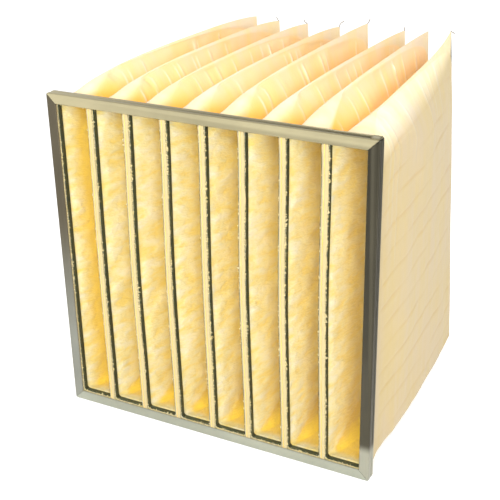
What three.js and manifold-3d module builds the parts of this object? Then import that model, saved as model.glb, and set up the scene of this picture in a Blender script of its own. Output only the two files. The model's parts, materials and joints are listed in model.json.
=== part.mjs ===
// Pocket air filter: a folded steel header frame, eight sewn fibre pockets and a steel
// retainer loop in the mouth of each pocket. Millimetres, +Z up, pockets run back along +Y.
import * as THREE from 'three';
import * as BufferGeometryUtils from 'three/addons/utils/BufferGeometryUtils.js';
import Module from 'manifold-3d';

// Header frame, one roll-formed strip of galvanised sheet folded into a square
const FACE_SIZE = 592;            // outside width and height of the header
const HEADER_DEPTH = 20;          // front face to back face of the header
const HEADER_SHEET = 1;           // sheet thickness
const FRONT_FLANGE = 18;          // width of the front flange
const FLANGE_LIP = 2;             // the front flange's inner edge is hemmed back this far
const BACK_FLANGE = 11;           // width of the flange behind the pockets
const HEADER_BEND = 1.2;          // outside bend at the front and back edges
const CORNER_RADIUS = 4;          // the strip folds round each corner at this radius
const BEAD_WIDTH = 7;             // shallow stiffening bead along the middle of the web
const BEAD_DEPTH = 0.6;
const FLANGE_CORNER = 0.3;        // radius where two flanges would meet
const MITRE_GAP = 0.5;            // slit between the flanges at each corner
const TAB_LENGTH = 13;            // closing tab lapped over the upper right corner
const TAB_WIDTH = 14;
const TAB_THICKNESS = 0.9;

// Pockets, sewn from fibre media with a cover cloth on the outside
const POCKET_COUNT = 8;
const LAST_POCKET_EXTRA = 4.6;    // the last pocket is this much wider than the others
const POCKET_DEPTH = 597.7;       // mouth to rear seam
const MEDIA_WALL = 5.2;           // thickness of the media at the mouth
const MOUTH_CORNER = 2.2;         // bevel on the corners of the mouth
const ROOF_LENGTH = 110;          // the flat roof of a pocket narrows to a fold over this depth
const FOLD_HALF_WIDTH = 2.5;      // half width of the fold along the top and the bottom
const SEAM_HALF_WIDTH = 4;        // half thickness of the rear seam
const TOP_SHOULDER = 150;         // height of the slanted shoulder below the top fold, at the rear
const BOTTOM_SHOULDER = 14;       // height of the slanted shoulder above the floor, at most
const SHOULDER_LENGTH = 60;       // depth over which the bottom shoulder forms
const FLOOR_DROP = 13;            // the floor drops this far just behind the header
const DROP_LENGTH = 25;           // over about this depth
const FLOOR_SAG = 32;             // and slopes down this much more to the rear seam
const FLOOR_SHARE = 0.45;         // share of a pocket's width that lies flat on its floor
const RISE_LENGTH = 60;           // the top fold climbs to its crown over about this depth
const CAVITY_DEPTH = 520;         // mouth to the end of the inside of a pocket
const STRAIGHT_PAST_HEADER = 2.5; // a pocket starts to taper this far behind the header
// How the taper, the top shoulder and the tip's ear grow along a pocket, as powers of the
// share of its depth
const TAPER_POWER = 2;
const SHOULDER_POWER = 0.7;
const EAR_POWER = 8;
// Where a shoulder breaks: this far down it, and this far out from the fold
const BREAK_DOWN = 0.4;
const BREAK_OUT = 0.6;
// Distances behind the header at which a pocket's shape is worked out
const STATIONS = [0, 14, 36, 70, ROOF_LENGTH, 160, 230, 320, 410, 500, 550];
// Each pocket as it hangs, from the left: how far its rear seam leans to the right at its top,
// and how far its top fold and its tip stand above the mouth
const TIP_LEAN = [37, 19, 13, 12, 1, 8, -15, -43];
const CROWN_RISE = [36, 33, 31, 31, 36, 31, 33, 14];
const TIP_RISE = [25, 20, 20, 20, 32, 25, 28, 33];
const BOTTOM_LEAN_SHARE = 0.22;   // the bottom of a rear seam leans this share of its top

// Retainers, a loop of steel strip inside each mouth
const RETAINER_SETBACK = 5;       // the media's raw edge stands this far in front of the strip
const STRIP_DEPTH = 9;            // depth of the strip, front to back
const STRIP_SHEET = 1;
const HEM_THICKNESS = 2.2;        // the front edge of the strip is folded over
const HEM_DEPTH = 2.6;
const RETAINER_RADIUS = 6.5;      // bend at the loop's corners

const CLEARANCE = 0.3;            // gap between pieces that bear on each other

// Worked out from the sizes above
const faceHalf = FACE_SIZE / 2;
const mouthY = FLANGE_LIP + CLEARANCE;
const stackHalf = faceHalf - BACK_FLANGE - CLEARANCE;
const pocketPitch = (2 * stackHalf - LAST_POCKET_EXTRA) / POCKET_COUNT;
const rearY = mouthY + POCKET_DEPTH;
const straightY = HEADER_DEPTH + STRAIGHT_PAST_HEADER;
const lowestZ = -stackHalf - FLOOR_DROP - FLOOR_SAG;

// The width that pocket i takes in the header, half its own width there, and its middle
const slotWidth = (i) => pocketPitch + (i === POCKET_COUNT - 1 ? LAST_POCKET_EXTRA : 0);
const mouthHalfWidth = (i) => (slotWidth(i) - CLEARANCE) / 2;
const pocketX = (i) => -stackHalf + pocketPitch * i + slotWidth(i) / 2;

const steel = (name, colour) => new THREE.MeshStandardMaterial({
  name, color: colour, roughness: 0.4, metalness: 0.9
});
const headerSteel = steel('galvanised_header', 0xb0ab98);
const retainerSteel = steel('galvanised_retainer', 0x7c8476);
const media = new THREE.MeshStandardMaterial({
  name: 'fibre_media', color: 0xf4e3ae, roughness: 0.95, metalness: 0
});

const wasm = await Module();
wasm.setup();

function toSolid(geometry) {
  const bare = geometry.clone();
  bare.deleteAttribute('normal');
  bare.deleteAttribute('uv');
  const merged = BufferGeometryUtils.mergeVertices(bare, 1e-4);
  const mesh = new wasm.Mesh({
    numProp: 3,
    vertProperties: new Float32Array(merged.attributes.position.array),
    triVerts: new Uint32Array(merged.index.array)
  });
  return new wasm.Manifold(mesh);
}

function toGeometry(solid) {
  const mesh = solid.getMesh();
  const geometry = new THREE.BufferGeometry();
  geometry.setAttribute('position', new THREE.BufferAttribute(mesh.vertProperties, 3));
  geometry.setIndex(new THREE.BufferAttribute(mesh.triVerts, 1));
  return geometry;
}

function signedVolume(points, triangles) {
  let volume = 0;
  for (const [a, b, c] of triangles) {
    volume += points[a].dot(new THREE.Vector3().crossVectors(points[b], points[c])) / 6;
  }
  return volume;
}

// A closed geometry from points and triangles, turned so that its faces point out
function closedGeometry(points, triangles) {
  const outward = signedVolume(points, triangles) > 0;
  const index = triangles.flatMap(([a, b, c]) => (outward ? [a, b, c] : [a, c, b]));
  const geometry = new THREE.BufferGeometry().setFromPoints(points);
  geometry.setIndex(index);
  geometry.computeVertexNormals();
  return geometry;
}

// One rounded rectangle in the XZ plane at depth y, the same number of points at any radius
function roundedLoop(halfWidth, halfHeight, radius, y, steps = 3) {
  const r = Math.max(radius, FLANGE_CORNER);
  const corners = [[1, 1, 0], [-1, 1, 90], [-1, -1, 180], [1, -1, 270]];
  return corners.flatMap(([sx, sz, start]) =>
    Array.from({ length: steps + 1 }, (_, k) => {
      const angle = THREE.MathUtils.degToRad(start + 90 * k / steps);
      return new THREE.Vector3(
        sx * (halfWidth - r) + r * Math.cos(angle), y,
        sz * (halfHeight - r) + r * Math.sin(angle));
    }));
}

// Sweeps a closed section of [inset, depth] points round a rounded rectangle
function sweptFrame(section, halfWidth, halfHeight, radius) {
  const loops = section.map(([inset, y]) =>
    roundedLoop(halfWidth - inset, halfHeight - inset, radius - inset, y));
  const rows = loops.length;
  const columns = loops[0].length;
  const triangles = [];
  for (let i = 0; i < rows; i++) {
    for (let j = 0; j < columns; j++) {
      const a = i * columns + j;
      const b = i * columns + (j + 1) % columns;
      const c = ((i + 1) % rows) * columns + j;
      const d = ((i + 1) % rows) * columns + (j + 1) % columns;
      triangles.push([a, b, c], [b, d, c]);
    }
  }
  return closedGeometry(loops.flat(), triangles);
}

// The header's section: web with a bead, front flange with its lip, back flange
function headerSection() {
  const middle = HEADER_DEPTH / 2;
  const beadOut = BEAD_WIDTH / 2;
  const beadIn = beadOut - BEAD_DEPTH;
  return [
    [0, HEADER_BEND], [0, middle - beadOut], [BEAD_DEPTH, middle - beadIn],
    [BEAD_DEPTH, middle + beadIn], [0, middle + beadOut], [0, HEADER_DEPTH - HEADER_BEND],
    [HEADER_BEND, HEADER_DEPTH], [BACK_FLANGE, HEADER_DEPTH],
    [BACK_FLANGE, HEADER_DEPTH - HEADER_SHEET],
    [HEADER_SHEET, HEADER_DEPTH - HEADER_SHEET],
    [HEADER_SHEET, middle + beadOut],
    [HEADER_SHEET + BEAD_DEPTH, middle + beadIn],
    [HEADER_SHEET + BEAD_DEPTH, middle - beadIn],
    [HEADER_SHEET, middle - beadOut],
    [HEADER_SHEET, HEADER_SHEET],
    [FRONT_FLANGE - HEADER_SHEET, HEADER_SHEET],
    [FRONT_FLANGE - HEADER_SHEET, FLANGE_LIP], [FRONT_FLANGE, FLANGE_LIP],
    [FRONT_FLANGE, HEADER_BEND], [FRONT_FLANGE - HEADER_BEND, 0], [HEADER_BEND, 0]
  ];
}

// The slit between two flanges at a corner, from just inside the web to past the lip
function mitreSlit(sx, sz) {
  const from = CORNER_RADIUS;
  const to = FRONT_FLANGE + HEADER_SHEET;
  const length = (to - from) * Math.SQRT2;
  const centre = faceHalf - (from + to) / 2;
  const slit = new THREE.BoxGeometry(length, HEADER_DEPTH + HEADER_SHEET, MITRE_GAP);
  slit.rotateY(-Math.PI / 4 * sx * sz);
  return slit.translate(sx * centre, HEADER_DEPTH / 2, sz * centre);
}

// The tab that closes the strip, lapped over the top web and pressed into its bead
function closingTab() {
  const pressed = TAB_THICKNESS + BEAD_DEPTH + HEADER_SHEET / 2;
  const tab = new THREE.BoxGeometry(TAB_LENGTH, TAB_WIDTH, pressed);
  return tab.translate(
    faceHalf - CORNER_RADIUS / 2 - TAB_LENGTH / 2,
    HEADER_DEPTH / 2,
    faceHalf + TAB_THICKNESS - pressed / 2);
}

function headerFrame() {
  let frame = toSolid(sweptFrame(headerSection(), faceHalf, faceHalf, CORNER_RADIUS));
  for (const sx of [-1, 1]) {
    for (const sz of [-1, 1]) {
      frame = frame.subtract(toSolid(mitreSlit(sx, sz)));
    }
  }
  return toGeometry(frame.add(toSolid(closingTab())));
}

// The loop of strip in the mouth of pocket i, its front edge folded over inwards
function retainer(i) {
  const front = mouthY + RETAINER_SETBACK;
  const section = [
    [0, front], [0, front + STRIP_DEPTH], [STRIP_SHEET, front + STRIP_DEPTH],
    [STRIP_SHEET, front + HEM_DEPTH], [HEM_THICKNESS, front + HEM_DEPTH],
    [HEM_THICKNESS, front]
  ];
  const inset = MEDIA_WALL + CLEARANCE;
  return sweptFrame(section, mouthHalfWidth(i) - inset, stackHalf - inset, RETAINER_RADIUS);
}

// How a pocket's outside has changed at depth y: 0 at the header's back, 1 at the rear seam
const share = (y) => THREE.MathUtils.clamp((y - straightY) / (rearY - straightY), 0, 1);

// The outside of pocket i at depth y. The bag keeps its girth, so as it narrows it gets taller:
// its roof soon closes to a fold, and its floor drops to the ground that it lies on
function outerShape(i, y) {
  const s = share(y);
  const past = Math.max(0, y - straightY);
  const climb = 1 - Math.exp(-past / RISE_LENGTH);
  const ear = Math.pow(s, EAR_POWER);
  const taper = Math.pow(s, TAPER_POWER);
  const halfWidth = THREE.MathUtils.lerp(mouthHalfWidth(i), SEAM_HALF_WIDTH, taper);
  const roof = (halfWidth - MOUTH_CORNER) * (1 - past / ROOF_LENGTH);
  const floorShare = THREE.MathUtils.lerp(1, FLOOR_SHARE, Math.min(1, past / ROOF_LENGTH));
  const formed = Math.min(1, past / SHOULDER_LENGTH);
  const bottomShoulder = MOUTH_CORNER + BOTTOM_SHOULDER * formed * (1 - taper);
  const drop = FLOOR_DROP * (1 - Math.exp(-past / DROP_LENGTH)) + FLOOR_SAG * s;
  return {
    y,
    halfWidth,
    top: stackHalf + climb * THREE.MathUtils.lerp(CROWN_RISE[i], TIP_RISE[i], ear),
    topFold: Math.max(FOLD_HALF_WIDTH, roof),
    topShoulder: MOUTH_CORNER + TOP_SHOULDER * Math.pow(s, SHOULDER_POWER),
    bottom: -stackHalf - drop,
    bottomFold: Math.max(FOLD_HALF_WIDTH, halfWidth * floorShare - MOUTH_CORNER),
    bottomShoulder,
    lean: TIP_LEAN[i] * taper,
    foldPull: TIP_LEAN[i] * (s - taper)
  };
}

// The inside, one wall in from the outside, and further in where the shoulder is steep
function innerShape(i, y) {
  const outer = outerShape(i, y);
  const steep = MEDIA_WALL * Math.hypot(1, outer.topShoulder / outer.halfWidth);
  const narrowest = FOLD_HALF_WIDTH / 3;
  return {
    ...outer,
    halfWidth: outer.halfWidth - MEDIA_WALL,
    top: outer.top - steep,
    topFold: Math.max(narrowest, outer.topFold - MEDIA_WALL),
    topShoulder: Math.max(MOUTH_CORNER, outer.topShoulder - steep + MEDIA_WALL),
    bottom: outer.bottom + MEDIA_WALL,
    bottomFold: Math.max(narrowest, outer.bottomFold - MEDIA_WALL)
  };
}

// One ring round a pocket, down the right side and up the left. Each point is half a width,
// a height and how far the top fold's sideways pull reaches it
function ring(shape) {
  const { halfWidth, top, topFold, topShoulder, bottom, bottomFold, bottomShoulder } = shape;
  const out = (fold) => THREE.MathUtils.lerp(fold, halfWidth, BREAK_OUT);
  const side = [
    [topFold, top, 1],
    [out(topFold), top - topShoulder * BREAK_DOWN, 1 - BREAK_OUT],
    [halfWidth, top - topShoulder, 0],
    [halfWidth, (top + bottom) / 2, 0],
    [halfWidth, bottom + bottomShoulder, 0],
    [out(bottomFold), bottom + bottomShoulder * BREAK_DOWN, 0],
    [bottomFold, bottom, 0]
  ];
  const around = [...side, ...side.map(([x, z, pull]) => [-x, z, pull]).reverse()];
  return around.map(([x, z, pull]) => {
    const height = (z - bottom) / (top - bottom);
    const lean = shape.lean * THREE.MathUtils.lerp(BOTTOM_LEAN_SHARE, 1, height);
    return new THREE.Vector3(x + lean + shape.foldPull * pull, shape.y, z);
  });
}

// The depths of a skin's rings, from the mouth to its last ring
function depths(last) {
  const places = STATIONS.map((d) => straightY + d).filter((y) => y < last - MEDIA_WALL);
  return [mouthY, ...places, last];
}

// A pocket: an outer skin from mouth to seam, and an inner one back to the mouth
function pocket(i) {
  const outerRings = depths(rearY).map((y) => ring(outerShape(i, y)));
  const innerRings = depths(mouthY + CAVITY_DEPTH).map((y) => ring(innerShape(i, y)));
  const rings = [...outerRings, ...innerRings.reverse()];
  const count = rings[0].length;
  const seam = outerRings.length - 1;
  const triangles = [];
  const cap = (row, flip) => {
    for (let j = 0; j < count / 2 - 1; j++) {
      const corners = [j, j + 1, count - 2 - j, count - 1 - j].map((k) => row * count + k);
      const [a, b, c, d] = flip ? [...corners].reverse() : corners;
      triangles.push([a, b, c], [a, c, d]);
    }
  };
  const band = (from, to) => {
    for (let j = 0; j < count; j++) {
      const k = (j + 1) % count;
      const [a, b, c, d] = [from * count + j, from * count + k, to * count + j, to * count + k];
      triangles.push([a, c, b], [b, c, d]);
    }
  };
  rings.forEach((_, row) => {
    if (row !== seam) {
      band(row, (row + 1) % rings.length);
    }
  });
  cap(seam, true);
  cap(seam + 1, false);
  return closedGeometry(rings.flat(), triangles);
}

const part = new THREE.Group();
part.position.set(0, -rearY / 2, -lowestZ);

function add(name, geometry, material, x = 0) {
  const mesh = new THREE.Mesh(geometry, material);
  mesh.name = name;
  mesh.position.x = x;
  part.add(mesh);
}

add('header_frame', headerFrame(), headerSteel);
for (let i = 0; i < POCKET_COUNT; i++) {
  add(`pocket_${i + 1}`, pocket(i), media, pocketX(i));
  add(`retainer_${i + 1}`, retainer(i), retainerSteel, pocketX(i));
}

export default part;
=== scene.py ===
# %% [markdown]
# # A pocket air filter
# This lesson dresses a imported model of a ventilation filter. A square header frame, folded from
# one galvanised strip, holds eight deep bags of yellow fibre, and a steel loop keeps each mouth
# open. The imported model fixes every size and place. Blender adds the folds, the fluff, the
# stitches and the finish of each surface.

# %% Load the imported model
import json
import math

import bpy
import numpy as np
from mathutils import Matrix, Vector

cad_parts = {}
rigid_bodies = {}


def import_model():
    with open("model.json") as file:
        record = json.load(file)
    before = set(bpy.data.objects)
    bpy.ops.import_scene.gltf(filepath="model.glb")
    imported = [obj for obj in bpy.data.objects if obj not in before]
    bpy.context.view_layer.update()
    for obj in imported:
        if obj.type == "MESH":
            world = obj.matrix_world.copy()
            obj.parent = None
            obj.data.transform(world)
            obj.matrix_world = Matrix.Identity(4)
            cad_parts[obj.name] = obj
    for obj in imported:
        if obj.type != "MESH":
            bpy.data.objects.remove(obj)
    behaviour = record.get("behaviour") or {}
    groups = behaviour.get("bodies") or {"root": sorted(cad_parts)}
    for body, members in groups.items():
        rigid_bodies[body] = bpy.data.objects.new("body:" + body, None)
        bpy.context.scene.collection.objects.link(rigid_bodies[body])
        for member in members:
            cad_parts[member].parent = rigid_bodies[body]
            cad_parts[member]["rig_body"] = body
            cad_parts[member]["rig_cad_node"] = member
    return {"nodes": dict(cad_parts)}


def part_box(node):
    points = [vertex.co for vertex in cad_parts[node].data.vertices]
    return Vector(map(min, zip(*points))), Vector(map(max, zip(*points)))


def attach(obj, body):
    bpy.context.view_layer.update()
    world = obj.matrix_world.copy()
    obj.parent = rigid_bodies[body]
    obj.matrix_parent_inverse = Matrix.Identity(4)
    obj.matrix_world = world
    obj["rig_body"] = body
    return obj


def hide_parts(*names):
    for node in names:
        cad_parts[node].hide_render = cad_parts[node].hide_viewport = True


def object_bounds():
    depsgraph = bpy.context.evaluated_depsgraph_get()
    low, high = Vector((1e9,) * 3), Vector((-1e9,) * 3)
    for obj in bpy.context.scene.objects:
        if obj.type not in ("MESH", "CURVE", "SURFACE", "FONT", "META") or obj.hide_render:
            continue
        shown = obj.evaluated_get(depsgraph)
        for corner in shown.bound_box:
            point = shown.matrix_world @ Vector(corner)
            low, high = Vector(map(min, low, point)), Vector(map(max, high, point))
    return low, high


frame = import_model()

cad_low, cad_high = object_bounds()
print("the packed model has", len(frame["nodes"]), "nodes and measures",
      [round(v, 3) for v in cad_high - cad_low])

# %% [markdown]
# ## Sizes
# Everything is placed from the header's own box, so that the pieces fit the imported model. The
# sizes below are millimetres, because that is how such a product is drawn, and MM turns them
# into Blender's metres. Depths are measured back from the header's front face, and heights from
# its middle.

# %% Sizes that the pieces share
MM = 0.001
header_low, header_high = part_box("header_frame")
FRONT_Y = header_low.y
MIDDLE_Z = header_low.z + 0.592 / 2
HEADER_DEPTH = (header_high.y - header_low.y) / MM
FACE_HALF = (header_high.x - header_low.x) / MM / 2
BACK_FLANGE = 11
CLEARANCE = 0.3
STACK_HALF = FACE_HALF - BACK_FLANGE - CLEARANCE
POCKETS = 8
LAST_POCKET_EXTRA = 4.6
PITCH = (2 * STACK_HALF - LAST_POCKET_EXTRA) / POCKETS
REAR = (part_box("pocket_1")[1].y - FRONT_Y) / MM


def place(points):
    """Points in the header's millimetres, moved into the model's metres."""
    return np.asarray(points, float) * MM + np.array([0.0, FRONT_Y, MIDDLE_Z])


def slot_width(i):
    """The width that pocket i takes in the header. The last one fills what is left."""
    return PITCH + (LAST_POCKET_EXTRA if i == POCKETS - 1 else 0)


def pocket_x(i):
    return -STACK_HALF + PITCH * i + slot_width(i) / 2


print("pitch", round(PITCH, 2), "mm, rear seams", round(REAR, 1), "mm behind the front face")

# %% [markdown]
# ## Camera
# The filter was photographed from its front right, from a little above. A camera's turn is
# easiest to read as three turns made one after another: round the upright axis, then down, then
# a slight roll.

# %% Camera
CAMERA_PLACE = Vector((0.8185, -1.6704, 1.1209))
CAMERA_HEADING = 28.22
CAMERA_DIP = 24.48
CAMERA_ROLL = -1.15
FOCAL_LENGTH = 77.39

camera_data = bpy.data.cameras.new("camera")
camera_data.lens = FOCAL_LENGTH
camera = bpy.data.objects.new("camera", camera_data)
bpy.context.scene.collection.objects.link(camera)
turn = (Matrix.Rotation(math.radians(CAMERA_HEADING), 4, "Z")
        @ Matrix.Rotation(math.radians(90 - CAMERA_DIP), 4, "X")
        @ Matrix.Rotation(math.radians(CAMERA_ROLL), 4, "Z"))
camera.matrix_world = Matrix.Translation(CAMERA_PLACE) @ turn
bpy.context.scene.camera = camera
print("camera at", tuple(round(v, 3) for v in CAMERA_PLACE))

# %% [markdown]
# ## Small helpers
# Colours are written as screen values from 0 to 255, and Blender's sockets want linear light, so
# one function turns one into the other. The others start a material and wire a few nodes.

# %% Helpers for colours and materials


def colour(red, green, blue):
    """A screen colour, 0 to 255, as linear light with full cover."""
    out = []
    for value in (red, green, blue):
        c = value / 255
        out.append(c / 12.92 if c <= 0.04045 else ((c + 0.055) / 1.055) ** 2.4)
    return (*out, 1.0)


def new_material(name, roughness, metallic=0.0):
    material = bpy.data.materials.new(name)
    material.use_nodes = True
    shader = material.node_tree.nodes["Principled BSDF"]
    shader.inputs["Roughness"].default_value = roughness
    shader.inputs["Metallic"].default_value = metallic
    return material, material.node_tree, shader


def add(tree, kind, **values):
    """A node with its inputs set by name, or linked where the value is a socket."""
    node = tree.nodes.new(kind)
    for key, value in values.items():
        if isinstance(value, bpy.types.NodeSocket):
            tree.links.new(value, node.inputs[key])
        else:
            node.inputs[key].default_value = value
    return node


def ramp(tree, source, stops):
    """A colour ramp from (position, colour) stops."""
    node = tree.nodes.new("ShaderNodeValToRGB")
    tree.links.new(source, node.inputs["Fac"])
    elements = node.color_ramp.elements
    while len(elements) < len(stops):
        elements.new(0.5)
    for element, (position, tint) in zip(elements, stops):
        element.position = position
        element.color = tint
    return node.outputs["Color"]


def blend_colours(tree, fac, first, second, mode="MIX"):
    """first, turned into second, or multiplied by it, as far as fac says."""
    node = tree.nodes.new("ShaderNodeMix")
    node.data_type = "RGBA"
    node.blend_type = mode
    for socket, value in ((0, fac), (6, first), (7, second)):
        if isinstance(value, bpy.types.NodeSocket):
            tree.links.new(value, node.inputs[socket])
        else:
            node.inputs[socket].default_value = value
    return node.outputs[2]


def object_noise(tree, scale, stretch=(1, 1, 1), detail=4.0, tilt=0.0):
    """Noise on the object's own coordinates, drawn out along an axis by a small scale there.
    tilt first turns the coordinates round X, so that the streaks droop towards the back."""
    where = tree.nodes.new("ShaderNodeTexCoord")
    turned = add(tree, "ShaderNodeMapping", Vector=where.outputs["Object"],
                 Rotation=(math.radians(tilt), 0, 0))
    mapping = add(tree, "ShaderNodeMapping", Vector=turned.outputs["Vector"], Scale=stretch)
    noise = add(tree, "ShaderNodeTexNoise", Vector=mapping.outputs["Vector"], Scale=scale,
                Detail=detail)
    return noise.outputs["Fac"]


def attribute(tree, name):
    node = tree.nodes.new("ShaderNodeAttribute")
    node.attribute_name = name
    return node.outputs["Fac"]


def bump(tree, shader, height, distance, strength=1.0):
    node = add(tree, "ShaderNodeBump", Height=height, Distance=distance, Strength=strength)
    tree.links.new(node.outputs["Normal"], shader.inputs["Normal"])


# %% [markdown]
# ## Galvanised steel
# The header is zinc-coated strip with a satin, softly brushed skin. The strip turns at each
# corner, so its rolling lines run along each side. Each side's colour holds a painted reflection:
# tan on top, brown at the left, dark olive at the right, grey below, and the two uprights are
# painted darker towards the top. One function makes all four, from a foot colour, a head colour
# and the height where they meet.

# %% Steel


def steel(name, foot, head, change=None, run=(1, 1, 1), roughness=0.36):
    """Brushed zinc. foot is its colour low down and head above, change the heights between."""
    material, tree, shader = new_material(name, roughness, metallic=0.7)
    where = tree.nodes.new("ShaderNodeTexCoord")
    split = add(tree, "ShaderNodeSeparateXYZ", Vector=where.outputs["Object"])
    base = foot
    if change:
        rise = add(tree, "ShaderNodeMapRange", Value=split.outputs["Z"])
        rise.inputs["From Min"].default_value = change[0]
        rise.inputs["From Max"].default_value = change[1]
        rise.interpolation_type = "SMOOTHSTEP"
        base = blend_colours(tree, rise.outputs["Result"], foot, head)
    cloudy = object_noise(tree, 9.0, detail=3.0)
    brushed = object_noise(tree, 60.0, stretch=run, detail=3.0)
    cloud = ramp(tree, cloudy, [(0.3, (0.86, 0.86, 0.86, 1)), (0.7, (1.06, 1.06, 1.06, 1))])
    lines = ramp(tree, brushed, [(0.3, (0.93, 0.93, 0.93, 1)), (0.7, (1.04, 1.04, 1.04, 1))])
    tint = blend_colours(tree, 1.0, base, cloud, "MULTIPLY")
    tint = blend_colours(tree, 1.0, tint, lines, "MULTIPLY")
    tree.links.new(tint, shader.inputs["Base Color"])
    bump(tree, shader, brushed, 0.0002, 0.4)
    return material


ALONG_X = (0.04, 1, 1)
ALONG_Z = (1, 1, 0.04)
# Painted reflection: each side of the header gets its own colour, and the uprights a darker head,
# standing in for what that side reflects.
steel_top = steel("steel_top", colour(166, 157, 124), None, run=ALONG_X)
steel_bottom = steel("steel_bottom", colour(157, 159, 144), None, run=ALONG_X)
steel_left = steel("steel_left", colour(133, 134, 124), colour(83, 76, 60),
                   change=(0.14, 0.42), run=ALONG_Z)
steel_right = steel("steel_right", colour(157, 156, 140), colour(72, 68, 54),
                    change=(0.085, 0.105), run=ALONG_Z)
# Painted reflected shade: the retainer's dark grey-green stands in for the shade its steel
# reflects.
steel_retainer = steel("steel_retainer", colour(86, 97, 84), None, run=ALONG_Z, roughness=0.45)
print("five steels made")

# %% [markdown]
# ## Cloth, fibre and thread
# A pocket is one felt with two faces. Outside there is a thin cream cover cloth, through which
# the yellow fibre shows in patches. Inside is the bare fibre, pale where it stands up and with a
# painted golden shade in its hollows. Both read attributes that the pocket's own mesh carries,
# such as how deep a point lies in the valley between two pockets, which sets a painted golden
# shade, and how much it is in a crease, which sets a painted highlight. The cloth also reads a
# painted shade for the sides that face out and the tops.

# %% Cover cloth and fibre


DROOP = 11


def let_light_through(tree, shader, tint, share):
    """Mixes in light that shines through from the other side, as through thin felt."""
    through = add(tree, "ShaderNodeBsdfTranslucent", Color=tint)
    both = tree.nodes.new("ShaderNodeMixShader")
    both.inputs[0].default_value = share
    tree.links.new(shader.outputs[0], both.inputs[1])
    tree.links.new(through.outputs[0], both.inputs[2])
    tree.links.new(both.outputs[0], tree.nodes["Material Output"].inputs["Surface"])


def cover_cloth():
    material, tree, shader = new_material("cover_cloth", 0.9)
    patches = object_noise(tree, 16.0, stretch=(1, 1.4, 0.3), detail=6.0)
    base = ramp(tree, patches, [(0.38, colour(250, 234, 206)), (0.62, colour(252, 234, 182))])
    # Painted shade: valley turns the cloth golden between two pockets, on the roofs' right edges
    # and under the bag.
    golden = blend_colours(tree, attribute(tree, "valley"), base, colour(255, 194, 52))
    # Painted highlight: crease pales the cloth along each crease.
    creased = blend_colours(tree, attribute(tree, "crease"), golden, colour(255, 250, 232))
    stitched = blend_colours(tree, attribute(tree, "stitch"), creased, colour(240, 200, 140))
    # Painted shade: darkens the cloth near the tops of the sides, on the roofs and on the two sides
    # that face out.
    painted_shade = blend_colours(tree, attribute(tree, "painted_shade"), stitched, (0.57, 0.51, 0.36, 1), "MULTIPLY")
    tree.links.new(painted_shade, shader.inputs["Base Color"])
    shader.inputs["Sheen Weight"].default_value = 0.2
    shader.inputs["Sheen Roughness"].default_value = 0.5
    let_light_through(tree, shader, colour(255, 240, 200), 0.04)
    weave = object_noise(tree, 420.0, detail=2.0)
    soft = object_noise(tree, 45.0, stretch=(1, 1, 0.5), detail=4.0)
    height = add(tree, "ShaderNodeMath")
    height.operation = "MULTIPLY_ADD"
    tree.links.new(soft, height.inputs[0])
    height.inputs[1].default_value = 3.0
    tree.links.new(weave, height.inputs[2])
    bump(tree, shader, height.outputs[0], 0.0006, 0.5)
    return material


def bare_fibre():
    material, tree, shader = new_material("bare_fibre", 0.95)
    tufts = object_noise(tree, 75.0, stretch=(1, 0.3, 1.0), detail=5.0, tilt=DROOP)
    # Painted shade: the low end of this ramp is golden, and the same noise sinks the bump there, so
    # its hollows carry a painted golden shade.
    base = ramp(tree, tufts, [(0.34, colour(255, 232, 124)), (0.5, colour(255, 244, 178)),
                              (0.66, colour(255, 250, 216))])
    # Painted shade: valley turns the fibre deep golden further into the pocket and in its lower
    # corners.
    golden = blend_colours(tree, attribute(tree, "valley"), base, colour(255, 220, 62))
    edge = blend_colours(tree, attribute(tree, "raw"), golden, colour(188, 172, 122))
    tree.links.new(edge, shader.inputs["Base Color"])
    shader.inputs["Sheen Weight"].default_value = 0.3
    shader.inputs["Sheen Roughness"].default_value = 0.6
    let_light_through(tree, shader, colour(255, 250, 205), 0.12)
    hairs = object_noise(tree, 300.0, stretch=(1, 0.3, 1.0), detail=4.0, tilt=DROOP)
    height = tree.nodes.new("ShaderNodeMath")
    height.operation = "MULTIPLY_ADD"
    tree.links.new(hairs, height.inputs[0])
    height.inputs[1].default_value = 0.2
    tree.links.new(tufts, height.inputs[2])
    bump(tree, shader, height.outputs[0], 0.006, 0.65)
    return material


cloth = cover_cloth()
fibre = bare_fibre()
print("cloth and fibre made")

# %% [markdown]
# ## Modelling helpers
# The operators act on whatever is selected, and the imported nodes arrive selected. So each
# modelling step first deselects everything, then picks faces or edges by their place.

# %% Modelling helpers


def deselect_everything():
    if bpy.context.object and bpy.context.object.mode != "OBJECT":
        bpy.ops.object.mode_set(mode="OBJECT")
    bpy.ops.object.select_all(action="DESELECT")


def make_active(piece):
    deselect_everything()
    piece.select_set(True)
    bpy.context.view_layer.objects.active = piece


def pick(piece, kind, test):
    """Selects the vertices, edges or faces whose middle passes the test."""
    bpy.ops.object.mode_set(mode="OBJECT")
    mesh = piece.data
    for group in (mesh.vertices, mesh.edges, mesh.polygons):
        for item in group:
            item.select = False
    points = [v.co for v in mesh.vertices]
    items = {"VERT": mesh.vertices, "EDGE": mesh.edges, "FACE": mesh.polygons}[kind]
    for item in items:
        if kind == "VERT":
            middle = item.co
        else:
            middle = sum((points[v] for v in item.vertices), Vector()) / len(item.vertices)
        if test(middle, item):
            item.select = True
    kinds = [kind == name for name in ("VERT", "EDGE", "FACE")]
    bpy.context.scene.tool_settings.mesh_select_mode = kinds
    bpy.ops.object.mode_set(mode="EDIT")


def finish_piece(piece, slot, *replaced):
    """Leaves a finished piece at the origin, riding on the part."""
    bpy.ops.object.mode_set(mode="OBJECT")
    make_active(piece)
    bpy.ops.object.transform_apply(location=True, rotation=True, scale=True)
    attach(piece, "root")
    if replaced:
        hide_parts(*replaced)


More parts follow.
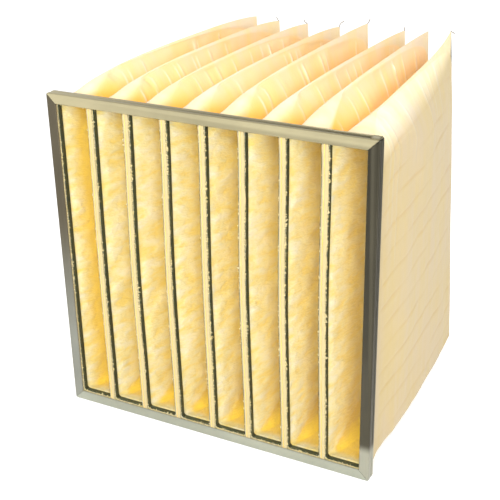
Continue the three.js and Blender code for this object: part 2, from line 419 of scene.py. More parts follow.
# %% [markdown]
# ## Header frame
# The imported header already has the right section: web, bead, two flanges and mitre slits. A copy
# of it is merged into a clean mesh, its flat triangles are dissolved, and a narrow bevel rounds
# every fold as a press would. Two cuts along the diagonals part the front face into four sides,
# each with a steel whose colour holds that side's painted reflection, and the corner where the
# strip closes is crumpled a little.

# %% Header frame


def header_shell():
    make_active(frame["nodes"]["header_frame"])
    bpy.ops.object.duplicate()
    shell = bpy.context.object
    shell.name = "header_shell"
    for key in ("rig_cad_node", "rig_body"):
        if key in shell:
            del shell[key]
    bpy.ops.object.mode_set(mode="EDIT")
    bpy.ops.mesh.select_all(action="SELECT")
    bpy.ops.mesh.remove_doubles(threshold=0.00001)
    bpy.ops.mesh.dissolve_limited(angle_limit=math.radians(2))
    for slope in (1, -1):
        bpy.ops.mesh.select_all(action="SELECT")
        bpy.ops.mesh.bisect(plane_co=(0, FRONT_Y, MIDDLE_Z), plane_no=(1, 0, slope))
    bpy.ops.object.mode_set(mode="OBJECT")
    bpy.ops.object.shade_smooth_by_angle(angle=math.radians(50))
    bevel = shell.modifiers.new("bends", "BEVEL")
    bevel.width = 0.25 * MM
    bevel.segments = 2
    bevel.limit_method = "ANGLE"
    bevel.angle_limit = math.radians(25)
    bevel.harden_normals = True
    bpy.ops.object.modifier_apply(modifier="bends")
    shell.data.materials.clear()
    for material in (steel_top, steel_bottom, steel_left, steel_right):
        shell.data.materials.append(material)
    # Painted reflection: the faces are sorted by side, so that each side takes its own painted
    # tone.
    for face in shell.data.polygons:
        x = face.center.x / MM
        z = (face.center.z - MIDDLE_Z) / MM
        if abs(z) >= abs(x):
            face.material_index = 0 if z > 0 else 1
        else:
            face.material_index = 2 if x < 0 else 3
    corner = Vector((FACE_HALF * MM - 0.006, FRONT_Y + 0.006, MIDDLE_Z + FACE_HALF * MM - 0.006))
    pick(shell, "FACE", lambda c, face: (c - corner).length < 0.014)
    bpy.ops.mesh.subdivide(number_cuts=3)
    bpy.ops.transform.vertex_random(offset=0.0007, seed=5)
    finish_piece(shell, "header_steel", "header_frame")
    return shell


header = header_shell()
print("header shell:", len(header.data.polygons), "faces")

# %% [markdown]
# ## The shape of a pocket
# A pocket is a flat envelope, sewn along its top, its bottom and its rear edge, whose mouth is
# pulled open into a tall rectangle. Behind the header its roof therefore closes from the full
# width to a fold, and the fold climbs, because the girth stays the same. The floor drops to the
# ground in the same way. Each bag also leans a little, in its own way. The functions here give
# that form at any depth, as arrays, so that the whole bag can be worked out at once.

# %% Pocket form
MEDIA_WALL = 5.2
MOUTH = 2.3
MOUTH_CORNER = 2.2
STRAIGHT = HEADER_DEPTH + 2.5
SEAM_HALF = 4
TOP_SHOULDER = 150
BOTTOM_SHOULDER = 14
FLOOR_DROP = 13
FLOOR_SAG = 32
FLOOR_SHARE = 0.45
FOLD_HALF = 2.5
CAVITY = 520
BOTTOM_LEAN_SHARE = 0.22
TIP_LEAN = (37, 19, 13, 12, 1, 8, -15, -43)
CROWN_RISE = (36, 33, 31, 31, 36, 31, 33, 14)
TIP_RISE = (25, 20, 20, 20, 32, 25, 28, 33)
ROOF_LENGTH = (78, 84, 92, 100, 106, 112, 138, 104)
ROOF_ARCH = (20, 26, 28, 28, 28, 34, 26, 18)
SHOULDER_CURVE = 1.8
BOW = (0, -2, -4, -4, -3, -4, -3.5, -3, 0)
BOW_REACH = 280


def mix(a, b, t):
    return a + (b - a) * t


def ease(t):
    t = np.clip(t, 0, 1)
    return t * t * (3 - 2 * t)


def bow(i, x, y, z):
    """How far the walls beside pocket i stand aside at points near the mouth, in mm."""
    across = np.clip(0.5 + (x - pocket_x(i)) / slot_width(i), 0, 1)
    near = 1 - ease((y - 30) / 220)
    return mix(BOW[i], BOW[i + 1], across) * near * ease(1 - np.abs(z) / BOW_REACH)


class Form:
    """The outside of pocket i, or its inside, at depths y: one value of each size a depth."""

    def __init__(self, i, y, inside=False):
        share = np.clip((y - STRAIGHT) / (REAR - STRAIGHT), 0, 1)
        past = np.maximum(0, y - STRAIGHT)
        climb = 1 - np.exp(-past / 60)
        half = (slot_width(i) - CLEARANCE) / 2
        self.half = mix(half, SEAM_HALF, share ** 2)
        left = 1 - past / (1.05 * ROOF_LENGTH[i])
        closing = 0.5 * (left + np.sqrt(left ** 2 + 0.015))
        self.top = STACK_HALF + climb * mix(CROWN_RISE[i], TIP_RISE[i], share ** 8)
        self.top_fold = np.maximum(FOLD_HALF, (self.half - MOUTH_CORNER) * closing)
        arch = ROOF_ARCH[i] * ease(past / 35) * (1 - ease((past - 60) / 130))
        self.top_shoulder = MOUTH_CORNER + TOP_SHOULDER * share ** 0.7 + arch
        self.bottom = -STACK_HALF - FLOOR_DROP * (1 - np.exp(-past / 25)) - FLOOR_SAG * share
        flat = mix(1, FLOOR_SHARE, np.minimum(1, past / 110))
        self.bottom_fold = np.maximum(FOLD_HALF, self.half * flat - MOUTH_CORNER)
        formed = np.minimum(1, past / 60)
        self.bottom_shoulder = MOUTH_CORNER + BOTTOM_SHOULDER * formed * (1 - share ** 2)
        self.lean = TIP_LEAN[i] * share ** 2
        self.fold_pull = TIP_LEAN[i] * (share - share ** 2)
        self.share = share
        back = ease(past / 200)
        self.across = mix(1.9, 1.0, back)
        self.down = mix(2.0, SHOULDER_CURVE, back)
        if inside:
            steep = MEDIA_WALL * np.hypot(1, self.top_shoulder / self.half)
            narrow = FOLD_HALF / 3
            self.top = self.top - steep
            self.bottom = self.bottom + MEDIA_WALL
            self.half = np.maximum(self.half - MEDIA_WALL, 1.5)
            self.top_fold = np.maximum(narrow, self.top_fold - MEDIA_WALL)
            self.bottom_fold = np.maximum(narrow, self.bottom_fold - MEDIA_WALL)
            self.top_shoulder = np.maximum(MOUTH_CORNER, self.top_shoulder - steep + MEDIA_WALL)

    def roof_depth(self, out):
        """How far below the crown the roof lies at a share out of the half width."""
        out = np.clip(out, 0, 1)
        return self.top_shoulder * (1 - (1 - out ** self.across) ** (1 / self.down))

    def side(self, down):
        """Half width, depth below the crown and sideways shift at shares down the side."""
        tall = self.top - self.bottom
        start = self.roof_depth(self.top_fold / self.half)
        from_top = start + down * (tall - start)
        from_bottom = tall - from_top
        q = np.clip(from_top / self.top_shoulder, 0, 1)
        arch = self.half * np.maximum(0, 1 - (1 - q) ** self.down) ** (1 / self.across)
        v = np.clip(1 - from_bottom / self.bottom_shoulder, 0, 1) ** SHOULDER_CURVE
        width = np.minimum(np.maximum(arch, self.top_fold), mix(self.half, self.bottom_fold, v))
        pull = np.clip(1 - from_top / self.top_shoulder, 0, 1) ** SHOULDER_CURVE
        shift = self.lean * mix(1, BOTTOM_LEAN_SHARE, from_top / tall) + self.fold_pull * pull
        return width, from_top, shift


mouth_form = Form(0, np.array([MOUTH, 300.0, REAR]))
print("half widths at the mouth, the middle and the seam:", mouth_form.half.round(1))

# %% [markdown]
# ## Retainers
# A retainer is a strip of sheet bent into a tall loop, with its front edge folded over inwards.
# A cube with its front and back removed is already such a loop. Its four long corners are
# bevelled into bends, the front edge is drawn in for the hem, and the legs are bowed aside a
# few millimetres with proportional editing. Solidify then gives the sheet its thickness.

# %% Retainers
STRIP_SHEET = 1
HEM_DEPTH = 2.6
HEM_THICKNESS = 2.2
RETAINER_RADIUS = 6.5


def retainer(i):
    low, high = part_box(f"retainer_{i + 1}")
    size, middle = high - low, (high + low) / 2
    deselect_everything()
    bpy.ops.mesh.primitive_cube_add(size=1, location=middle, scale=size)
    loop = bpy.context.object
    loop.name = f"retainer_loop_{i + 1}"
    bpy.ops.object.transform_apply(location=True, rotation=True, scale=True)
    pick(loop, "FACE", lambda c, face: abs(face.normal.y) > 0.9)
    bpy.ops.mesh.delete(type="ONLY_FACE")
    pick(loop, "EDGE", lambda c, edge: abs(c.x - middle.x) > size.x * 0.4
         and abs(c.z - middle.z) > size.z * 0.4)
    bpy.ops.mesh.bevel(offset=RETAINER_RADIUS * MM, segments=8, affect="EDGES")
    front = low.y
    pick(loop, "EDGE", lambda c, edge: abs(c.y - front) < 0.01 * MM)
    hem = (HEM_THICKNESS - STRIP_SHEET) * MM
    bpy.ops.mesh.extrude_edges_move()
    bpy.ops.transform.resize(value=(1 - 2 * hem / size.x, 1, 1 - 2 * hem / size.z),
                             center_override=middle)
    bpy.ops.mesh.extrude_edges_move(TRANSFORM_OT_translate={"value": (0, HEM_DEPTH * MM, 0)})
    bpy.ops.mesh.select_all(action="SELECT")
    bpy.ops.mesh.remove_doubles(threshold=0.00001)
    bpy.ops.mesh.normals_make_consistent(inside=False)
    pick(loop, "EDGE", lambda c, edge: abs(c.x - middle.x) > size.x * 0.4
         and abs(c.z - middle.z) < 1 * MM)
    bpy.ops.mesh.subdivide(number_cuts=15)
    for hand, aside in ((-1, BOW[i]), (1, BOW[i + 1])):
        pick(loop, "VERT", lambda c, v: abs(c.z - middle.z) < 1 * MM
             and (c.x - middle.x) * hand > 0)
        bpy.ops.transform.translate(value=(aside * MM, 0, 0), use_proportional_edit=True,
                                    proportional_edit_falloff="SMOOTH",
                                    proportional_size=BOW_REACH * MM,
                                    use_proportional_connected=True)
    bpy.context.scene.tool_settings.use_proportional_edit = False
    bpy.ops.object.mode_set(mode="OBJECT")
    wall = loop.modifiers.new("sheet", "SOLIDIFY")
    wall.thickness = STRIP_SHEET * MM
    wall.offset = -1
    rounding = loop.modifiers.new("edges", "BEVEL")
    rounding.width = 0.2 * MM
    rounding.segments = 2
    rounding.limit_method = "ANGLE"
    for modifier in ("sheet", "edges"):
        bpy.ops.object.modifier_apply(modifier=modifier)
    loop.data.materials.append(steel_retainer)
    bpy.ops.object.shade_smooth_by_angle(angle=math.radians(35))
    finish_piece(loop, "retainer_steel", f"retainer_{i + 1}")
    return loop


retainers = [retainer(i) for i in range(POCKETS)]
print(len(retainers), "retainers of", len(retainers[0].data.polygons), "faces")

# %% [markdown]
# ## Wrinkles
# Real cloth is never smooth. Wrinkles here come from a small smooth noise and from creases with
# a place, a length and a height of their own, all drawn from seeded random numbers, so that each
# run gives the same filter.

# %% Wrinkles
NOISE_CELLS = 64


def noise(seed, u, v):
    """Smooth noise from -1 to 1 at points (u, v), one cell a unit."""
    table = np.random.default_rng(seed).uniform(-1, 1, (NOISE_CELLS, NOISE_CELLS))
    iu, iv = np.floor(u).astype(int), np.floor(v).astype(int)
    fu, fv = ease(u - iu), ease(v - iv)
    a = table[iu % NOISE_CELLS, iv % NOISE_CELLS]
    b = table[(iu + 1) % NOISE_CELLS, iv % NOISE_CELLS]
    c = table[iu % NOISE_CELLS, (iv + 1) % NOISE_CELLS]
    d = table[(iu + 1) % NOISE_CELLS, (iv + 1) % NOISE_CELLS]
    return mix(mix(a, b, fu), mix(c, d, fu), fv)


STITCH_LINES = 13


def stitch_height(line):
    """Share down a side at which a stitch line runs."""
    return (line + 1) / (STITCH_LINES + 1)


def side_relief(seed, depth, down, tall):
    """Relief of a side in mm, its painted crease highlight and how stitched it is, at depths and
    shares down.
    """
    rng = np.random.default_rng(seed)
    below = down * tall
    free = ease((depth - 24) / 60) * ease((REAR - depth) / 30)
    broad = 2.4 * noise(seed + 1, depth / 95, below / 130)
    broad = broad + 1.1 * noise(seed + 2, depth / 38, below / 80)
    fine = 0.45 * noise(seed + 3, depth / 14, below / 30)
    creases = np.zeros_like(depth * down)
    tint = np.zeros_like(creases)
    for _ in range(9):
        at = rng.uniform(50, REAR - 40)
        length = rng.uniform(70, 330)
        height = rng.uniform(0.6, 1.9)
        width = rng.uniform(3, 5)
        drift = rng.uniform(-0.10, 0.10)
        wander = 3.5 * noise(int(rng.integers(1e6)), below / 60, np.full_like(below, 0.5))
        off = (depth - at - drift * below - wander) / width
        fade = ease((length - below) / (0.5 * length)) * ease(below / 12)
        creases = creases + height * fade * (np.exp(-off ** 2) - 0.6 * np.exp(-(off - 1.6) ** 2))
        # Painted highlight: tint pales the cloth along the ridge of each crease.
        tint = tint + 0.6 * fade * np.exp(-(2 * off) ** 2)
    stitched = np.zeros_like(creases)
    for line in range(STITCH_LINES):
        sway = 2.5 * noise(seed + 20 + line, depth / 90, np.zeros_like(depth))
        off = (down - stitch_height(line)) * tall - sway
        here = ease((depth - 45) / 30) * ease((REAR - 15 - depth) / 20)
        strength = 0.55 + 0.45 * noise(seed + 50 + line, depth / 60, np.zeros_like(depth))
        stitched = stitched + here * strength * np.exp(-(off / 2.2) ** 2)
        creases = creases + here * strength * 0.7 * np.exp(-((off - 4.5) / 2.6) ** 2)
    relief = free * (broad + fine + creases) - 1.1 * stitched
    return relief, np.clip(tint * free, 0, 1), np.clip(stitched, 0, 1)


# %% [markdown]
# ## Sewing the bag
# The bag's mesh is a stack of rings. Each ring goes down the right side, across the floor, up
# the left side and back over the roof. The stack starts at the mouth, runs back to the rear seam
# and returns inside, so the felt has its real thickness and its raw edge shows at the front.
# Rings are closer where a form changes fast, and each stitch line has points of its own.

# %% Where the points of a ring lie
SIDE_STEP = 7
ACROSS = 9


def side_shares():
    """Shares down a side, closer at the folds and at each stitch line."""
    tall = 2 * STACK_HALF + 30
    shares = list(np.linspace(0, 1, int(tall / SIDE_STEP)))
    for line in range(STITCH_LINES):
        shares += [stitch_height(line) + off / tall for off in (-2.0, 0.0, 2.0)]
    shares += [off / tall for off in (1.2, 2.6, 4.0)]
    shares += [1 - off / tall for off in (1.2, 2.6, 4.0)]
    return np.unique(np.round(shares, 5))


DOWN = side_shares()
OVER = np.linspace(-1, 1, ACROSS + 2)[1:-1]
OUTER_DEPTHS = np.concatenate([[3.2, 5, 8, 12, 16, STRAIGHT],
                               np.arange(STRAIGHT + 3.0, REAR - 10, 4.2),
                               [REAR - 8, REAR - 5, REAR - 2.5, REAR]])
INNER_DEPTHS = np.concatenate([[3.0, 4.5, 6.4, 7.1, 8.5, 12, 16, 18, 20.5, 23.5, 27, 31],
                               np.arange(35.5, 150, 5), np.arange(156, CAVITY, 26), [CAVITY]])
print("a ring has", 2 * len(DOWN) + 2 * ACROSS, "points; rings:", len(OUTER_DEPTHS),
      "outside and", len(INNER_DEPTHS), "inside")

# %% One skin of the bag


def outer_skin(i):
    """Rings of points, and their attributes, for the outside of pocket i."""
    y = OUTER_DEPTHS[:, None]
    form = Form(i, y)
    down = DOWN[None, :]
    width, below, shift = form.side(down)
    z = form.top - below
    tall = form.top - form.bottom
    fin = ease((y - STRAIGHT - ROOF_LENGTH[i] * 0.8) / 30)
    fin_width = 1.3 + 1.2 * ease((below - 3) / 3) + 0.35 * below
    width = np.where(below < 8, mix(width, np.minimum(width, fin_width), fin), width)
    seam = ease((y - (REAR - 12)) / 9)
    width = mix(width, np.minimum(width, 1.6), seam)
    gap = (slot_width(i) - CLEARANCE) / 2 - form.half
    rows = []
    for hand in (1, -1):
        relief, tint, stitched = side_relief(100 * i + (7 if hand > 0 else 57), y, down, tall)
        room = 0.9 * gap + 6 * ease((y - 40) / 60) * (1 if (i, hand) in ((7, 1), (0, -1)) else 0)
        soft = np.minimum(ease(down * tall / 10), ease((1 - down) * tall / 14))
        relief = np.minimum(relief, room) * soft
        faces_out = (i, hand) in ((7, 1), (0, -1))
        # Painted shade: valley is the golden shade on a side where the neighbour stands close, and
        # further down towards the back. The two sides that face out get none.
        valley = np.zeros_like(relief)
        away = ease((y - STRAIGHT) / 170)
        if not faces_out:
            close = 0.3 + 0.7 * ease((width / form.half - 0.2) / 0.6)
            if (i, hand) == (6, 1):
                close = 0.45 + 0.55 * close
            far = 0.3 + 0.6 * ease((below - 3) / 60) * mix(1, 0.6, form.share)
            valley = mix(close, far, away) * ease(below / 6)
        x = pocket_x(i) + shift + hand * (width + relief)
        # Painted shade: a band near the top of each side, and on the two sides that face out, the
        # whole side below its top.
        painted_shade = 0.3 * (1 - ease(below / 30)) + 0 * x
        if faces_out:
            painted_shade = (1 if i else 0.35) * ease((below - 4) / 50) + 0 * x
        rows.append((x, z + 0 * x, valley, tint, stitched * (0.35 if faces_out else 0.5), painted_shade))
    (xr, zr, vr, cr, sr, dr), (xl, zl, vl, cl, sl, dl) = rows
    lay = OVER[None, :]
    floor_x = pocket_x(i) + form.lean * BOTTOM_LEAN_SHARE - lay * form.bottom_fold
    floor_z = form.bottom + 0.8 * ease((y - 30) / 30) * (1 - lay ** 2)
    roof_x = pocket_x(i) + form.lean + form.fold_pull + lay * form.top_fold
    slack = ease((y - STRAIGHT) / 25) * (form.top_fold / 34)
    ripple = 1.4 * noise(40 + i, roof_x / 16 + 0 * y, y / 22 + 0 * roof_x)
    roof_z = form.top - form.roof_depth(np.abs(lay) * form.top_fold / form.half) + slack * ripple
    zero = 0 * floor_x
    # Painted shade on the right part of each roof, except on the last two pockets.
    roof_valley = 0.85 * ease((lay * form.top_fold / form.half - 0.1) / 0.7)
    if i in (6, 7):
        roof_valley = zero
    x = np.concatenate([xr, floor_x, xl[:, ::-1], roof_x], axis=1)
    z = np.concatenate([zr, floor_z, zl[:, ::-1], roof_z], axis=1)
    # The floor of the bag gets half the painted shade.
    valley = np.concatenate([vr, zero + 0.5, vl[:, ::-1], zero + roof_valley], axis=1)
    crease = np.concatenate([cr, zero, cl[:, ::-1], zero], axis=1)
    stitch = np.concatenate([sr, zero, sl[:, ::-1], zero], axis=1)
    # The roofs get an even painted shade.
    painted_shade = np.concatenate([dr, zero, dl[:, ::-1], zero + 0.3], axis=1)
    depth = OUTER_DEPTHS[:, None] + 0 * x
    x = x + bow(i, x, depth, z)
    return np.stack([x, depth, z], axis=2), valley, crease, stitch, painted_shade


def inner_skin(i):
    """The same for the inside, from the raw edge at the mouth to the end of the cavity."""
    y = INNER_DEPTHS[:, None]
    form = Form(i, y, inside=True)
    down = DOWN[None, :]
    width, below, shift = form.side(down)
    z = form.top - below
    tall = form.top - form.bottom
    swell = ease((y - 1.5) / 1.5) * (1 - ease((y - 5.2) / 1.6))
    puff = 1.0 * ease((y - 16.8) / 25) * mix(1, 0, ease((y - 300) / 200))
    fading = 1 - ease((y - 130) / 90)
    rows = []
    for hand in (1, -1):
        seed = 1000 + 100 * i + (7 if hand > 0 else 57)
        ragged = 0.5 + 0.5 * noise(seed, below / 5.5, np.full_like(below, 0.3))
        ragged = ragged * (0.6 + 0.8 * noise(seed + 1, below / 40, np.full_like(below, 0.3)))
        droop = below - 0.2 * y
        lumps = 1.2 * noise(seed + 2, y / 70, droop / 34)
        lumps = lumps + 0.9 * noise(seed + 3, y / 40, droop / 17)
        inward = swell * (0.3 + 2.8 * np.clip(ragged, 0, 1)) * (hand < 0) + puff
        inward = inward + np.maximum(-1.2, lumps) * ease((y - 20) / 14)
        if hand > 0:
            inward = inward + 3.0 * np.exp(-below / 10) * (1 - ease((y - 5.4) / 1.4))
        soft = np.minimum(ease(below / 10), ease((1 - down) * tall / 10))
        inward = np.minimum(inward * soft, width - 0.6)
        x = pocket_x(i) + shift + hand * (width - inward)
        # Painted shade: side_tint makes the inside golden further in, in the lower corners, in the
        # hollows of the lumps and on the right-hand wall from near the mouth.
        deep = 1.1 * ease((y - 25) / 55) if i == 0 else 0.55 * ease((y - 40) / 70)
        low = tall * (1 - down) - 0.45 * (y - 30)
        corner = ease((y - 30) / 25) * (1 - ease((low + 6) / 12))
        deep = np.maximum(deep, corner) * fading
        side_tint = deep if hand < 0 else np.maximum(deep, 0.75 * ease((y - 16) / 20))
        side_tint = side_tint + 0.3 * ease(-lumps / 2) * ease((y - 20) / 14)
        raw = (1 - ease((y - 6.0) / 1.5)) * (hand < 0) + 0 * x
        rows.append((x, z + 0 * x, side_tint + 0.5 * (hand > 0) * (y < 8) + 0 * x, raw))
    (xr, zr, vr, er), (xl, zl, vl, el) = rows
    lay = OVER[None, :]
    lift = puff * (1 - lay ** 2) + swell * 0.8
    floor_x = pocket_x(i) + form.lean * BOTTOM_LEAN_SHARE - lay * form.bottom_fold
    floor_z = form.bottom + lift + 0 * floor_x
    roof_x = pocket_x(i) + form.lean + form.fold_pull + lay * form.top_fold
    roof_z = form.top - form.roof_depth(np.abs(lay) * form.top_fold / form.half) - lift
    zero = 0 * floor_x
    edge = (1 - ease((y - 6.0) / 1.5)) + zero
    # floor_tint is the same painted golden shade on the inner floor, and a little less on the inner
    # roof.
    floor_tint = ease((y - 30) / 25) * fading + zero
    x = np.concatenate([xr, floor_x, xl[:, ::-1], roof_x], axis=1)
    z = np.concatenate([zr, floor_z, zl[:, ::-1], roof_z], axis=1)
    valley = np.concatenate([vr, floor_tint, vl[:, ::-1], floor_tint * 0.8], axis=1)
    raw = np.concatenate([er, edge, el[:, ::-1], edge], axis=1)
    depth = INNER_DEPTHS[:, None] + 0 * x
    right = np.arange(x.shape[1])[None, :] < len(DOWN)
    depth = np.where(right & (depth < 7), 5.6 + 0.2 * depth, depth)
    x = x + bow(i, x, depth, z)
    return np.stack([x, depth, z], axis=2), valley, raw


def rim(i, outer, inner):
    """Rings that round the raw edge of the felt over from the outside to the inside."""
    rings = []
    from_middle = np.maximum(np.abs(outer[0, :, 0]), np.abs(outer[0, :, 2]))
    free = ease((STACK_HALF - 7 - from_middle) / 4)
    tuft = noise(300 + i, np.arange(outer.shape[1]) / 2.2, np.zeros(outer.shape[1]))
    for share, back in ((0.12, 0.35), (0.38, 0.0), (0.66, 0.05), (0.9, 0.4)):
        ring = mix(outer[0], inner[0], share)
        ring[:, 1] = MOUTH + back - free * (0.5 + 0.5 * tuft) * (0.9 - 2.2 * (share - 0.45) ** 2)
        ring[:len(DOWN), 1] += 3.6 * share ** 2.2
        rings.append(ring)
    return np.stack(rings[::-1])


# %% Join the rings into one closed mesh


def sew(name, rings, attributes, inside_from):
    """A closed mesh from rings in a loop: rings follow each other and the last meets the first."""
    count = rings.shape[1]
    total = rings.shape[0]
    row = np.arange(total)[:, None] * count
    column = np.arange(count)[None, :]
    following = ((np.arange(total) + 1) % total)[:, None] * count
    beside = (column + 1) % count
    quads = np.stack([row + column, following + column, following + beside, row + beside], axis=2)
    seam = inside_from - 1
    keep = np.ones(total, bool)
    keep[seam] = False
    quads = quads[keep].reshape(-1, 4)
    caps = []
    half = count // 2
    for ring, flip in ((seam, False), (inside_from, True)):
        for j in range(half - 1):
            corners = [j, j + 1, count - 2 - j, count - 1 - j]
            corners = [ring * count + c for c in corners]
            caps.append(corners[::-1] if flip else corners)
    mesh = bpy.data.meshes.new(name)
    mesh.from_pydata(place(rings.reshape(-1, 3)).tolist(), [], quads.tolist() + caps)
    for label, values in attributes.items():
        layer = mesh.attributes.new(label, "FLOAT", "POINT")
        layer.data.foreach_set("value", values.reshape(-1).astype(np.float32))
    mesh.validate()
    piece = bpy.data.objects.new(name, mesh)
    bpy.context.scene.collection.objects.link(piece)
    return piece


def pocket(i):
    outer, valley, crease, stitch, painted_shade = outer_skin(i)
    inner, inner_valley, raw = inner_skin(i)
    edge = rim(i, outer, inner)
    inward = inner[::-1]
    rings = np.concatenate([outer, inward, edge])
    zero_in, zero_edge = np.zeros(inward.shape[:2]), np.zeros(edge.shape[:2])
    attributes = {
        "valley": np.concatenate([valley, inner_valley[::-1], zero_edge]),
        "crease": np.concatenate([crease, zero_in, zero_edge]),
        "stitch": np.concatenate([stitch, zero_in, zero_edge]),
        "painted_shade": np.concatenate([painted_shade, zero_in, zero_edge]),
        "raw": np.concatenate([0 * valley, raw[::-1], zero_edge + 1]),
    }
    piece = sew(f"pocket_bag_{i + 1}", rings, attributes, len(outer))
    make_active(piece)
    bpy.ops.object.mode_set(mode="EDIT")
    bpy.ops.mesh.select_all(action="SELECT")
    bpy.ops.mesh.normals_make_consistent(inside=False)
    bpy.ops.object.mode_set(mode="OBJECT")
    piece.data.materials.append(cloth)
    piece.data.materials.append(fibre)
    first_inside = len(outer) * outer.shape[1]
    for face in piece.data.polygons:
        face.material_index = 1 if max(face.vertices) >= first_inside + outer.shape[1] else 0
    bpy.ops.object.shade_smooth_by_angle(angle=math.radians(50))
    finish_piece(piece, "pocket_media", f"pocket_{i + 1}")
    return piece


pockets = [pocket(i) for i in range(POCKETS)]
print(len(pockets), "pockets of", len(pockets[0].data.polygons), "faces")

# %% [markdown]
# ## Loose fibres
# The felt is cut, not hemmed, so its raw edge is ragged and tufts of it hang over the steel.
# Each tuft is a small bent cone. They are thrown along the raw edge by a seeded random draw,
# denser in some stretches than in others, and never reach back into the steel.

# %% Tufts along the raw edges
TUFT_RINGS = ((0.0, 1.0), (0.5, 0.72))
STEEL_FRONT = MOUTH + 5


def tuft_points(root, direction, length, wide, thin, bend):
    """Points of one bent four-sided cone, and how far back it may reach."""
    direction = direction / np.linalg.norm(direction)
    aside = np.cross(direction, (0, 1, 0))
    aside = aside / max(np.linalg.norm(aside), 1e-6)
    up = np.cross(aside, direction)
    points = []
    for along, swell in TUFT_RINGS:
        middle = root + direction * length * along + bend * along ** 2
        for a, b in ((1, 0), (0, 1), (-1, 0), (0, -1)):
            points.append(middle + aside * a * wide * swell + up * b * thin * swell)
    points.append(root + direction * length + bend)
    points = np.array(points)
    points[:, 1] = np.minimum(points[:, 1], STEEL_FRONT - 0.15)
    return points


TUFT_FACES = ((3, 2, 1, 0), (0, 1, 5, 4), (1, 2, 6, 5), (2, 3, 7, 6), (3, 0, 4, 7),
              (4, 5, 8), (5, 6, 8), (6, 7, 8), (7, 4, 8))


def tufts(i):
    rng = np.random.default_rng(4000 + i)
    middle = pocket_x(i)
    wall = (slot_width(i) - CLEARANCE) / 2 - MEDIA_WALL
    height = STACK_HALF - MEDIA_WALL
    points, faces = [], []

    def throw(edge, spot, amount):
        along = spot * 2 * (height - 6)
        patch = 0.5 + 0.5 * float(noise(900 + 7 * i + edge, np.array(along / 26), np.array(0.4)))
        if rng.random() > amount * (0.35 + patch):
            return
        blob = rng.random() < 0.55
        length = rng.uniform(2.0, 3.4) + 5.5 * patch ** 2 * rng.random()
        if edge == 1:
            length = 0.5 * length
        wide = rng.uniform(0.8, 2.3) if blob else rng.uniform(0.15, 0.3)
        thin = rng.uniform(0.4, 0.8) if blob else 0.15
        length = length if blob else length + rng.uniform(0, 2.4)
        y = rng.uniform(3.4, 6.4)
        wave = rng.uniform(-0.5, 0.5)
        if edge < 2:
            hand = (-1, 1)[edge]
            root = np.array([middle + hand * (wall + 0.6), y, height - 6 - along])
            direction = np.array([-hand, rng.uniform(-0.35, 0.3), wave])
        else:
            hand = (-1, 1)[edge - 2]
            root = np.array([middle + (2 * spot - 1) * (wall - 4), y, hand * (height + 0.6)])
            direction = np.array([wave, rng.uniform(-0.35, 0.3), -hand])
        root[0] += bow(i, root[0], 0, root[2])
        bend = rng.uniform(-0.7, 0.7, 3)
        base = len(points) * 9
        points.append(tuft_points(root, direction, length, wide, thin, bend))
        faces.extend([tuple(base + v for v in face) for face in TUFT_FACES])

    for edge, count, amount in ((0, 380, 0.95), (1, 90, 0.6), (2, 60, 1.0), (3, 30, 0.5)):
        for spot in rng.random(count):
            throw(edge, spot, amount)
    mesh = bpy.data.meshes.new(f"raw_edge_tufts_{i + 1}")
    mesh.from_pydata(place(np.concatenate(points)).tolist(), [], faces)
    layer = mesh.attributes.new("raw", "FLOAT", "POINT")
    layer.data.foreach_set("value", np.full(len(mesh.vertices), 0.8, np.float32))
    mesh.materials.append(fibre)
    piece = bpy.data.objects.new(mesh.name, mesh)
    bpy.context.scene.collection.objects.link(piece)
    make_active(piece)
    bpy.ops.object.mode_set(mode="EDIT")
    bpy.ops.mesh.select_all(action="SELECT")
    bpy.ops.mesh.normals_make_consistent(inside=False)
    bpy.ops.object.mode_set(mode="OBJECT")
    finish_piece(piece, "pocket_media")
    return piece


edge_tufts = [tufts(i) for i in range(POCKETS)]
print("tufts:", sum(len(piece.data.polygons) // len(TUFT_FACES) for piece in edge_tufts))

# %% [markdown]
# ## Thread tails
# The machine that sews a bag leaves a short tail of thread at the top rear corner. Each tail is
# a thin tube along a few points, given from the corner in millimetres.

# %% Thread tails
THREAD_RADIUS = 0.7
TAILS = {
    1: ((0, 0, 0), (-3, 2, 2), (-6, 4, 6), (-9, 6, 6)),
    2: ((0, 0, 0), (-4, 1, 3), (-8, 2, 4), (-10, 4, 8)),
    3: ((0, 0, 0), (0, 2, 5), (3, 3, 9), (8, 5, 12)),
    4: ((0, 0, 0), (3, 2, 4), (4, 4, 9)),
    5: ((0, 0, 0), (-1, 0, 4), (0, 1, 7)),
    7: ((0, 0, 0), (2, 3, -2), (6, 6, -5)),
}


def thread_tail(i, route):
    form = Form(i, np.array([REAR]))
    tip = np.array([pocket_x(i) + form.lean[0], REAR - 2, form.top[0] - 1])
    curve_data = bpy.data.curves.new(f"thread_{i + 1}", "CURVE")
    curve_data.dimensions = "3D"
    curve_data.bevel_depth = THREAD_RADIUS * MM
    curve_data.bevel_resolution = 1
    curve_data.use_fill_caps = True
    spline = curve_data.splines.new("NURBS")
    spline.points.add(len(route) - 1)
    for point, offset in zip(spline.points, route):
        point.co = (*place([tip + np.array(offset)])[0], 1)
    spline.order_u = 3
    spline.use_endpoint_u = True
    piece = bpy.data.objects.new(f"thread_tail_{i + 1}", curve_data)
    bpy.context.scene.collection.objects.link(piece)
    make_active(piece)
    bpy.ops.object.convert(target="MESH")
    piece = bpy.context.object
    piece.data.materials.append(thread)
    bpy.ops.object.shade_smooth()
    finish_piece(piece, "pocket_media")
    return piece


thread, _, thread_shader = new_material("thread", 0.7)
thread_shader.inputs["Base Color"].default_value = colour(120, 104, 78)
tails = [thread_tail(i, route) for i, route in TAILS.items()]
print(len(tails), "thread tails")

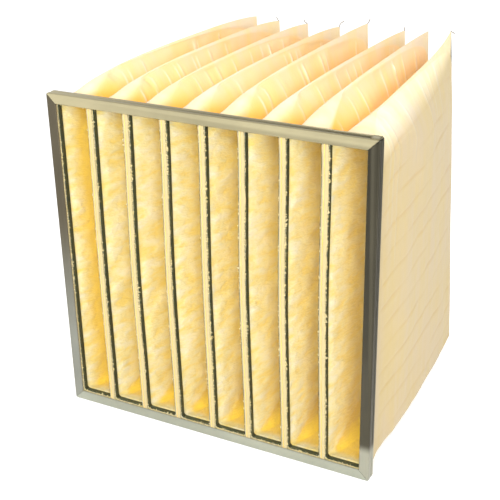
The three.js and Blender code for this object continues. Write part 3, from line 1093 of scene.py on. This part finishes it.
# %% [markdown]
# ## Floor, light and background
# The filter stands on its header's lower edge and on the rear ends of its pockets, which hang a
# little lower, so the floor passes under both. The floor and the sky look white to the camera
# but light the filter softly, and the floor keeps its shadow.

# %% Floor
floor_slope = math.atan2(header_low.z, cad_high.y - header_low.y)
deselect_everything()
bpy.ops.mesh.primitive_plane_add(size=16, location=(0, cad_high.y, -0.0005),
                                 rotation=(-floor_slope, 0, 0))
floor = bpy.context.object
floor.name = "floor"
material, tree, shader = new_material("floor_white", 0.95)
shader.inputs["Base Color"].default_value = colour(236, 236, 236)
light_path = tree.nodes.new("ShaderNodeLightPath")
seen = add(tree, "ShaderNodeMath")
seen.operation = "MAXIMUM"
tree.links.new(light_path.outputs["Is Camera Ray"], seen.inputs[0])
tree.links.new(light_path.outputs["Is Glossy Ray"], seen.inputs[1])
glow = add(tree, "ShaderNodeEmission", Color=(1, 1, 1, 1))
lift = add(tree, "ShaderNodeMath")
lift.operation = "MULTIPLY"
tree.links.new(seen.outputs[0], lift.inputs[0])
lift.inputs[1].default_value = 0.34
tree.links.new(lift.outputs[0], glow.inputs["Strength"])
both = tree.nodes.new("ShaderNodeAddShader")
tree.links.new(shader.outputs[0], both.inputs[0])
tree.links.new(glow.outputs[0], both.inputs[1])
tree.links.new(both.outputs[0], tree.nodes["Material Output"].inputs["Surface"])
floor.data.materials.append(material)

# %% Sky and lamps
world = bpy.data.worlds.new("white_room")
bpy.context.scene.world = world
world.use_nodes = True
tree = world.node_tree
sky = tree.nodes["Background"]
sky.inputs["Color"].default_value = (1, 1, 1, 1)
light_path = tree.nodes.new("ShaderNodeLightPath")
seen = tree.nodes.new("ShaderNodeMath")
seen.operation = "MAXIMUM"
tree.links.new(light_path.outputs["Is Camera Ray"], seen.inputs[0])
tree.links.new(light_path.outputs["Is Glossy Ray"], seen.inputs[1])
strength = tree.nodes.new("ShaderNodeMapRange")
tree.links.new(seen.outputs[0], strength.inputs["Value"])
strength.inputs["To Min"].default_value = 0.9
strength.inputs["To Max"].default_value = 1.0
tree.links.new(strength.outputs["Result"], sky.inputs["Strength"])


def soft_lamp(name, place_at, power, size):
    data = bpy.data.lights.new(name, "AREA")
    data.energy = power
    data.size = size
    lamp = bpy.data.objects.new(name, data)
    lamp.location = place_at
    target = Vector((0, 0, 0.33))
    lamp.rotation_euler = (target - Vector(place_at)).to_track_quat("-Z", "Y").to_euler()
    bpy.context.scene.collection.objects.link(lamp)


soft_lamp("front", (1.9, -5.0, 2.6), 430, 3.4)
bpy.context.scene.view_settings.view_transform = "Standard"
